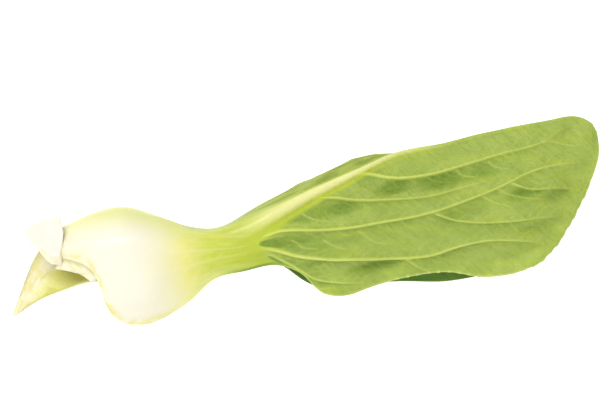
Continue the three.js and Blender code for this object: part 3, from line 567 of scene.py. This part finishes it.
# The broken face of the base is cut across into narrow strips and roughened
TORN_CUTS = 7
TORN_ROUGHNESS = ((0.45, 1.9), (0.22, 0.7))
ends = np.zeros(2 * len(leaf.data.edges), dtype=np.int32)
leaf.data.edges.foreach_get("vertices", ends)
edge_numbers = numbers[ends.reshape(-1, 2)]
across_wall = edge_numbers[:, 0] == edge_numbers[:, 1]
broken = across_wall & (torn_edge.ravel()[edge_numbers[:, 0]] > 0)
for faces_or_points in (leaf.data.polygons, leaf.data.vertices):
    faces_or_points.foreach_set("select", np.zeros(len(faces_or_points), dtype=bool))
leaf.data.edges.foreach_set("select", broken)
bpy.context.tool_settings.mesh_select_mode = (False, True, False)
bpy.ops.object.mode_set(mode="EDIT")
bpy.ops.mesh.subdivide(number_cuts=TORN_CUTS)
bpy.ops.mesh.select_all(action="SELECT")
bpy.ops.mesh.normals_make_consistent(inside=False)
bpy.ops.object.mode_set(mode="OBJECT")
bpy.ops.object.shade_smooth()
for point in leaf.data.vertices[2 * count:]:
    place = point.co / MM
    rough = sum(depth * noise.noise(place / size) for depth, size in TORN_ROUGHNESS)
    point.co += point.normal * rough * MM
leaf.data.update()

# The inner skin is smooth and lies in shade, so it keeps fewer faces than the back
INNER_THINNING = 0.57
inner_points = leaf.vertex_groups.new(name="inner")
inner_points.add([int(k) for k in np.flatnonzero(is_inner)], 1.0, "REPLACE")
thinning = leaf.modifiers.new("thinning", "DECIMATE")
thinning.vertex_group = inner_points.name
thinning.ratio = INNER_THINNING
bpy.ops.object.modifier_apply(modifier=thinning.name)


# Light that a surface facing the camera gives back, as a share of its own colour
STUDIO_GAIN = 1.4


def seen(red, green, blue):
    """Colour of a surface that looks like this on screen, 0 to 255, in the studio light"""
    parts = [part / 255 for part in (red, green, blue)]
    light = [part / 12.92 if part <= 0.04045 else ((part + 0.055) / 1.055) ** 2.4 for part in parts]
    return tuple(value / STUDIO_GAIN for value in light) + (1.0,)


def add(tree, kind, inputs=None, **settings):
    """A node with its settings and inputs, each input a value or another node's output"""
    made = tree.nodes.new(kind)
    for name, value in settings.items():
        setattr(made, name, value)
    for socket, value in (inputs or {}).items():
        if isinstance(value, bpy.types.NodeSocket):
            tree.links.new(value, made.inputs[socket])
        else:
            made.inputs[socket].default_value = value
    return made


def blend(tree, factor, first, second):
    """Second colour laid over the first"""
    return add(tree, "ShaderNodeMix", {0: factor, 6: first, 7: second}, data_type="RGBA").outputs[2]


def calculate(tree, operation, first, second):
    return add(tree, "ShaderNodeMath", {0: first, 1: second}, operation=operation).outputs[0]


def product(tree, first, *others):
    for other in others:
        first = calculate(tree, "MULTIPLY", first, other)
    return first


def spread(tree, value, low, high, to_low=0.0, to_high=1.0):
    """Value mapped from one range to another, clamped"""
    made = add(tree, "ShaderNodeMapRange", {"Value": value, "From Min": low, "From Max": high,
                                            "To Min": to_low, "To Max": to_high},
               interpolation_type="SMOOTHSTEP")
    return made.outputs["Result"]


def ramp(tree, factor, stops):
    made = add(tree, "ShaderNodeValToRGB", {"Fac": factor})
    colours = made.color_ramp.elements
    while len(colours) < len(stops):
        colours.new(0.5)
    for colour, (place, value) in zip(colours, stops):
        colour.position = place
        colour.color = value
    return made.outputs["Color"]


def painted(tree, name):
    return add(tree, "ShaderNodeAttribute", attribute_name=name).outputs["Fac"]


def make_mottle_group():
    """Uneven tint of living tissue: soft blotches and fine grain laid over a colour"""
    group = bpy.data.node_groups.new("mottle", "ShaderNodeTree")
    for name, kind in (("Color", "NodeSocketColor"), ("Tint", "NodeSocketColor"),
                       ("Size", "NodeSocketFloat"), ("Amount", "NodeSocketFloat")):
        group.interface.new_socket(name, in_out="INPUT", socket_type=kind)
    group.interface.new_socket("Color", in_out="OUTPUT", socket_type="NodeSocketColor")
    group.interface.new_socket("Grain", in_out="OUTPUT", socket_type="NodeSocketFloat")
    given = add(group, "NodeGroupInput").outputs
    where = add(group, "ShaderNodeTexCoord").outputs["Object"]
    blotch_scale = calculate(group, "DIVIDE", 1.0, given["Size"])
    blotch = add(group, "ShaderNodeTexNoise", {"Vector": where, "Scale": blotch_scale, "Detail": 3.0})
    grain_scale = product(group, blotch_scale, 7.0)
    grain = add(group, "ShaderNodeTexNoise", {"Vector": where, "Scale": grain_scale, "Detail": 2.0})
    both = calculate(group, "ADD", product(group, blotch.outputs["Fac"], 0.7),
                     product(group, grain.outputs["Fac"], 0.3))
    share = product(group, spread(group, both, 0.38, 0.66), given["Amount"])
    tinted = blend(group, share, given["Color"], given["Tint"])
    add(group, "NodeGroupOutput", {"Color": tinted, "Grain": grain.outputs["Fac"]})
    return group


mottle_group = make_mottle_group()


def mottle(tree, colour, tint, size, amount):
    inputs = {"Color": colour, "Tint": tint, "Size": size, "Amount": amount}
    return add(tree, "ShaderNodeGroup", inputs, node_tree=mottle_group)


CREAM = seen(249, 244, 228)
TORN_CREAM = seen(240, 233, 196)
# Painted light: a brighter copy of the torn cream, for torn faces that turn from the lamp
TORN_CREAM_PAINTED_LIGHT = seen(255, 250, 218)
TORN_YELLOW = seen(230, 221, 136)


def stretched_noise(tree, where, angle, sizes, detail=2.0):
    """Noise in streaks: the direction they run in, in degrees, and their length, width and height"""
    turned = add(tree, "ShaderNodeMapping", {"Vector": where, "Rotation": (0, 0, math.radians(angle)),
                                             "Scale": sizes}, vector_type="TEXTURE").outputs[0]
    return add(tree, "ShaderNodeTexNoise", {"Vector": turned, "Scale": 1.0, "Detail": detail}).outputs["Fac"]


def back_of_leaf(tree, where, greenness, leafy, streaks, ripples, net_line):
    """Back skin: its colour from cream to green, with veins, midrib, fine grain and painted shade"""
    plain = ramp(tree, greenness, [
        (0.00, CREAM), (0.16, seen(251, 246, 200)), (0.34, seen(248, 244, 150)),
        (0.55, seen(222, 229, 100)), (0.74, seen(192, 205, 58)), (0.88, seen(182, 199, 44)),
        (1.00, seen(170, 188, 86))])
    # Olive tint and painted shade on the side of the fold turned away from the light
    plain = blend(tree, painted(tree, "olive_shade"), plain, seen(192, 198, 88))

    blotched = mottle(tree, plain, seen(140, 166, 62), 0.006, product(tree, leafy, 0.45))
    # Painted shade below the veins and in the hollows
    hollow_shade = product(tree, painted(tree, "shade"), product(tree, leafy, 0.92))
    back = blend(tree, hollow_shade, blotched.outputs["Color"], seen(106, 138, 28))
    # Painted shade in the small slanted ripples, which the bump below also dents
    back = blend(tree, product(tree, ripples, product(tree, leafy, 0.28)), back, seen(136, 162, 58))
    back = blend(tree, product(tree, net_line, 0.10), back, seen(188, 204, 98))

    green_share = spread(tree, painted(tree, "green"), 0.4, 0.7, 0.0, 0.85)
    far_shade = product(tree, painted(tree, "far"), green_share)
    back = blend(tree, far_shade, back, seen(138, 156, 52))
    rib_streaks = spread(tree, stretched_noise(tree, where, 27, (0.014, 0.001, 0.001), 3.0), 0.42, 0.62)
    back = blend(tree, product(tree, far_shade, rib_streaks), back, seen(172, 188, 84))
    back = blend(tree, product(tree, painted(tree, "vein"), 0.9), back, seen(216, 227, 108))
    back = blend(tree, product(tree, painted(tree, "rib_flank"), 0.85), back, seen(194, 208, 58))
    strand = product(tree, painted(tree, "strand"), spread(tree, streaks, 0.38, 0.6, 0.05, 0.42))
    back = blend(tree, strand, back, seen(247, 247, 205))
    back = blend(tree, painted(tree, "rib_core"), back, seen(239, 237, 160))
    return back, blotched.outputs["Grain"]


def inside_of_leaf(tree, greenness, leafy):
    """Inner skin: pale yellow in the stalk, olive and painted shade by its edges, deep green in the blade"""
    sheet_colour = blend(tree, product(tree, painted(tree, "vein"), 0.6), seen(94, 136, 38),
                         seen(150, 176, 84))
    stalk_colour = ramp(tree, greenness, [
        (0.00, seen(248, 244, 190)), (0.30, seen(242, 238, 138)), (0.60, seen(205, 211, 80)),
        (1.00, seen(110, 146, 50))])
    inner = blend(tree, leafy, stalk_colour, sheet_colour)
    # Pale deep in the fold, darker olive near the margin: partly the flesh's tone, partly painted shade
    inner_tone_and_shade = blend(tree, spread(tree, painted(tree, "edge"), 8.0, 14.0), seen(218, 216, 114),
                       seen(252, 248, 200))
    return blend(tree, spread(tree, painted(tree, "green"), 0.35, 0.6), inner_tone_and_shade, inner)


def with_rims(tree, where, colour, leafy):
    """Sheet edges: pale round the blade, green and painted shade along the neck, stained yellow at the bowl
    """
    edge, green = painted(tree, "edge"), painted(tree, "green")
    on_near_half = calculate(tree, "SUBTRACT", 1.0, painted(tree, "far"))
    outside = calculate(tree, "SUBTRACT", 1.0, painted(tree, "inside"))
    in_stalk = calculate(tree, "SUBTRACT", 1.0, leafy)

    blade_rim = product(tree, spread(tree, edge, 0.15, 0.6, 1.0, 0.0), leafy, on_near_half)
    rimmed = blend(tree, blade_rim, colour, seen(190, 205, 104))
    rimmed = blend(tree, product(tree, painted(tree, "tooth"), 0.85), rimmed, seen(222, 224, 132))
    # The neck's green wing, darkened with painted shade where its edge turns away from the light
    neck_rim_shade = product(tree, spread(tree, edge, 0.4, 1.6, 1.0, 0.0), spread(tree, green, 0.62, 0.8),
                       in_stalk)
    rimmed = blend(tree, neck_rim_shade, rimmed, seen(112, 148, 30))
    stain = add(tree, "ShaderNodeTexNoise", {"Vector": where, "Scale": 240.0, "Detail": 2.0}).outputs["Fac"]
    bowl_rim = product(tree, spread(tree, edge, 0.0, 5.0, 1.0, 0.0), spread(tree, green, 0.0, 0.3, 1.0, 0.0),
                       outside, spread(tree, stain, 0.42, 0.6, 0.1, 0.95))
    return blend(tree, bowl_rim, rimmed, seen(236, 230, 122))


def make_leaf_material():
    """Waxy cream stalk that turns yellow-green in the neck, with a matt green veined blade"""
    made = bpy.data.materials.new("leaf_flesh")
    made.use_nodes = True
    tree = made.node_tree
    surface = tree.nodes["Principled BSDF"]
    where = add(tree, "ShaderNodeTexCoord").outputs["Object"]
    leafy = spread(tree, painted(tree, "green"), 0.86, 1.0)

    streaks = stretched_noise(tree, where, 3, (0.02, 0.0016, 0.0016), 3.0)
    streak_share = spread(tree, painted(tree, "green"), 0.15, 0.6, 0.04, 0.32)
    streak_change = product(tree, calculate(tree, "SUBTRACT", streaks, 0.5), streak_share)
    greenness = calculate(tree, "ADD", painted(tree, "green"), streak_change)

    warped = add(tree, "ShaderNodeTexNoise", {"Vector": where, "Scale": 160.0, "Detail": 2.0})
    bent = add(tree, "ShaderNodeVectorMath", {0: warped.outputs["Color"], "Scale": 0.0035},
               operation="SCALE").outputs[0]
    moved = add(tree, "ShaderNodeVectorMath", {0: where, 1: bent}, operation="ADD").outputs[0]
    turned = add(tree, "ShaderNodeMapping", {"Vector": moved, "Rotation": (0, 0, math.radians(40)),
                                             "Scale": (420, 800, 420)}).outputs[0]
    net = add(tree, "ShaderNodeTexVoronoi", {"Vector": turned, "Scale": 1.0},
              feature="DISTANCE_TO_EDGE").outputs["Distance"]
    net_line = product(tree, spread(tree, net, 0.0, 0.25, 1.0, 0.0), leafy)
    ripples = spread(tree, stretched_noise(tree, where, -42, (0.007, 0.0014, 0.002)), 0.46, 0.68)

    back, grain = back_of_leaf(tree, where, greenness, leafy, streaks, ripples, net_line)
    inner = inside_of_leaf(tree, greenness, leafy)
    whole = with_rims(tree, where, blend(tree, painted(tree, "inside"), back, inner), leafy)

    # Torn faces on the near half, which turn from the lamp, take the brighter cream: painted light
    torn_colour = blend(tree, painted(tree, "far"), TORN_CREAM_PAINTED_LIGHT, TORN_CREAM)
    torn_face = mottle(tree, torn_colour, TORN_YELLOW, 0.0035, 0.8)
    whole = blend(tree, painted(tree, "torn"), whole, torn_face.outputs["Color"])
    outline = spread(tree, painted(tree, "outline"), 0.55, 1.0, 0.0, 0.8)
    whole = blend(tree, outline, whole, seen(204, 194, 140))
    tree.links.new(whole, surface.inputs["Base Color"])

    roughness = spread(tree, calculate(tree, "ADD", leafy, product(tree, streaks, 0.3)),
                       0.0, 1.3, 0.34, 0.62)
    tree.links.new(roughness, surface.inputs["Roughness"])
    height = calculate(tree, "ADD", product(tree, net_line, 0.03), product(tree, grain, 0.14))
    dents = product(tree, ripples, product(tree, leafy, 0.12))
    height = calculate(tree, "SUBTRACT", height, dents)
    relief = add(tree, "ShaderNodeBump", {"Height": height, "Strength": 0.8, "Distance": MM})
    tree.links.new(relief.outputs["Normal"], surface.inputs["Normal"])
    surface.inputs["Specular IOR Level"].default_value = 0.28
    surface.inputs["Subsurface Weight"].default_value = 0.15
    surface.inputs["Subsurface Radius"].default_value = (0.004, 0.004, 0.0015)
    surface.inputs["Subsurface Scale"].default_value = 1.0
    return made


leaf.data.materials.append(make_leaf_material())
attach(leaf, "root")
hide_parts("leaf")

# Heel
# The stub of the leaf's base where a knife cut it from the core: firm white flesh with one flat
# face. It grew as part of the leaf, so its foot runs into the torn end of the fold.
HEEL_OUTLINE = [(-84.2, -4.5), (-83.4, -2.4), (-82.0, -1.0), (-77.4, 0.7), (-75.9, 1.3), (-72.9, 1.5),
                (-72.3, -1.5), (-71.7, -3.3), (-72.0, -5.6), (-73.0, -10.3), (-76.4, -10.3),
                (-78.6, -8.5), (-81.9, -6.5)]
HEEL_TOP = 24.6
HEEL_TOP_SLOPE = (0.24, 0.12)
HEEL_RIM = 3.2
HEEL_UNDERCUT = 0.88
HEEL_APRON = (0.7, -3.2, 1.0)
HEEL_APRON_FROM_Y = -7.0
HEEL_FOOT = (-75.6, -7.0, 4.0)
HEEL_FOOT_SCALE = 0.62
HEEL_VOXEL = 0.3
HEEL_ROUNDINGS = 4
HEEL_ROUGHNESS = ((0.3, 3.2), (0.12, 1.3))
HEEL_BROKEN = (0.5, 0.9)
HEEL_CUT = (0.6, 0.95)

bpy.ops.object.select_all(action="DESELECT")
bpy.ops.mesh.primitive_circle_add(vertices=len(HEEL_OUTLINE), radius=0.01, fill_type="NGON")
heel = bpy.context.object
heel.name = "heel"
heel_right = max(place_x for place_x, place_y in HEEL_OUTLINE)
heel_back = max(place_y for place_x, place_y in HEEL_OUTLINE)
for point, (place_x, place_y) in zip(heel.data.vertices, HEEL_OUTLINE):
    top = HEEL_TOP - HEEL_TOP_SLOPE[0] * (heel_right - place_x) - HEEL_TOP_SLOPE[1] * (heel_back - place_y)
    point.co = Vector((place_x, place_y, top)) * MM
bpy.ops.object.mode_set(mode="EDIT")
bpy.ops.mesh.select_all(action="SELECT")
bpy.ops.mesh.extrude_region()
bpy.ops.transform.translate(value=(0, 0, -HEEL_RIM * MM))
bpy.ops.transform.resize(value=(HEEL_UNDERCUT, HEEL_UNDERCUT, 1),
                         center_override=tuple(part * MM for part in HEEL_FOOT))
bpy.ops.object.mode_set(mode="OBJECT")
for point in heel.data.vertices:
    if point.select and point.co.y < HEEL_APRON_FROM_Y * MM:
        point.co += Vector(HEEL_APRON) * MM
bpy.ops.object.mode_set(mode="EDIT")
bpy.ops.mesh.extrude_region()
bpy.ops.transform.resize(value=(HEEL_FOOT_SCALE, HEEL_FOOT_SCALE, 0),
                         center_override=tuple(part * MM for part in HEEL_FOOT))
bpy.ops.mesh.select_all(action="SELECT")
bpy.ops.mesh.normals_make_consistent(inside=False)
bpy.ops.object.mode_set(mode="OBJECT")

remesh = heel.modifiers.new("flesh", "REMESH")
remesh.mode = "VOXEL"
remesh.voxel_size = HEEL_VOXEL * MM
rounding = heel.modifiers.new("rounding", "SMOOTH")
rounding.factor = 0.5
rounding.iterations = HEEL_ROUNDINGS
for modifier in (remesh, rounding):
    bpy.ops.object.modifier_apply(modifier=modifier.name)
bpy.ops.object.shade_smooth()
for point in heel.data.vertices:
    place = point.co / MM
    broken_share = 1 - smoothstep(point.normal.z, *HEEL_BROKEN)
    rough = sum(depth * noise.noise(place / size) for depth, size in HEEL_ROUGHNESS)
    point.co += point.normal * rough * broken_share * MM
paint(heel.data, "cut", [smoothstep(point.normal.z, *HEEL_CUT) for point in heel.data.vertices])
heel.data.update()


def make_heel_material():
    """Moist white flesh, creamier where it is broken than where it is cut; broken sides get painted light"""
    made = bpy.data.materials.new("heel_flesh")
    made.use_nodes = True
    tree = made.node_tree
    surface = tree.nodes["Principled BSDF"]
    cut = mottle(tree, seen(246, 242, 229), seen(244, 232, 212), 0.005, 0.5)
    # The broken sides take the brighter torn cream: painted light where they turn from the lamp
    broken_face = mottle(tree, TORN_CREAM_PAINTED_LIGHT, TORN_YELLOW, 0.0035, 0.5)
    whole = blend(tree, painted(tree, "cut"), broken_face.outputs["Color"], cut.outputs["Color"])
    lip = product(tree, spread(tree, painted(tree, "cut"), 0.0, 0.3),
                  spread(tree, painted(tree, "cut"), 0.6, 1.0, 0.25, 0.0))
    whole = blend(tree, lip, whole, seen(226, 214, 176))
    tree.links.new(whole, surface.inputs["Base Color"])
    relief = add(tree, "ShaderNodeBump", {"Height": cut.outputs["Grain"], "Strength": 0.08, "Distance": MM})
    tree.links.new(relief.outputs["Normal"], surface.inputs["Normal"])
    surface.inputs["Roughness"].default_value = 0.42
    surface.inputs["Subsurface Weight"].default_value = 0.15
    surface.inputs["Subsurface Radius"].default_value = (0.004, 0.004, 0.0025)
    surface.inputs["Subsurface Scale"].default_value = 1.0
    return made


heel.data.materials.append(make_heel_material())
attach(heel, "root")
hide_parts("leaf")

# Floor and light
# A plain white surface under a broad soft light from the far left, with a weaker one in front.
bpy.ops.mesh.primitive_plane_add(size=6.0)
floor = bpy.context.object
floor.name = "floor"
floor_material = bpy.data.materials.new("floor")
floor_material.use_nodes = True
floor_surface = floor_material.node_tree.nodes["Principled BSDF"]
floor_surface.inputs["Base Color"].default_value = (0.9, 0.9, 0.9, 1.0)
floor_surface.inputs["Roughness"].default_value = 0.9
floor_surface.inputs["Emission Color"].default_value = (1.0, 1.0, 1.0, 1.0)
floor_surface.inputs["Emission Strength"].default_value = 0.6
floor.data.materials.append(floor_material)

world = bpy.data.worlds.new("world")
bpy.context.scene.world = world
world.use_nodes = True
world.node_tree.nodes["Background"].inputs["Color"].default_value = (1.0, 1.0, 1.0, 1.0)
world.node_tree.nodes["Background"].inputs["Strength"].default_value = 0.5

# Soft lights: name, place in metres, width, power
LIGHTS = (("key", (-0.35, 0.45, 1.15), 0.6, 15.0), ("fill", (-0.1, -0.95, 0.75), 1.0, 7.0))
for name, place, width, power in LIGHTS:
    light_data = bpy.data.lights.new(name, "AREA")
    light_data.size = width
    light_data.energy = power
    light = bpy.data.objects.new(name, light_data)
    light.location = place
    light.rotation_euler = (-Vector(place)).to_track_quat("-Z", "Y").to_euler()
    bpy.context.collection.objects.link(light)

bpy.context.scene.view_settings.view_transform = "Standard"
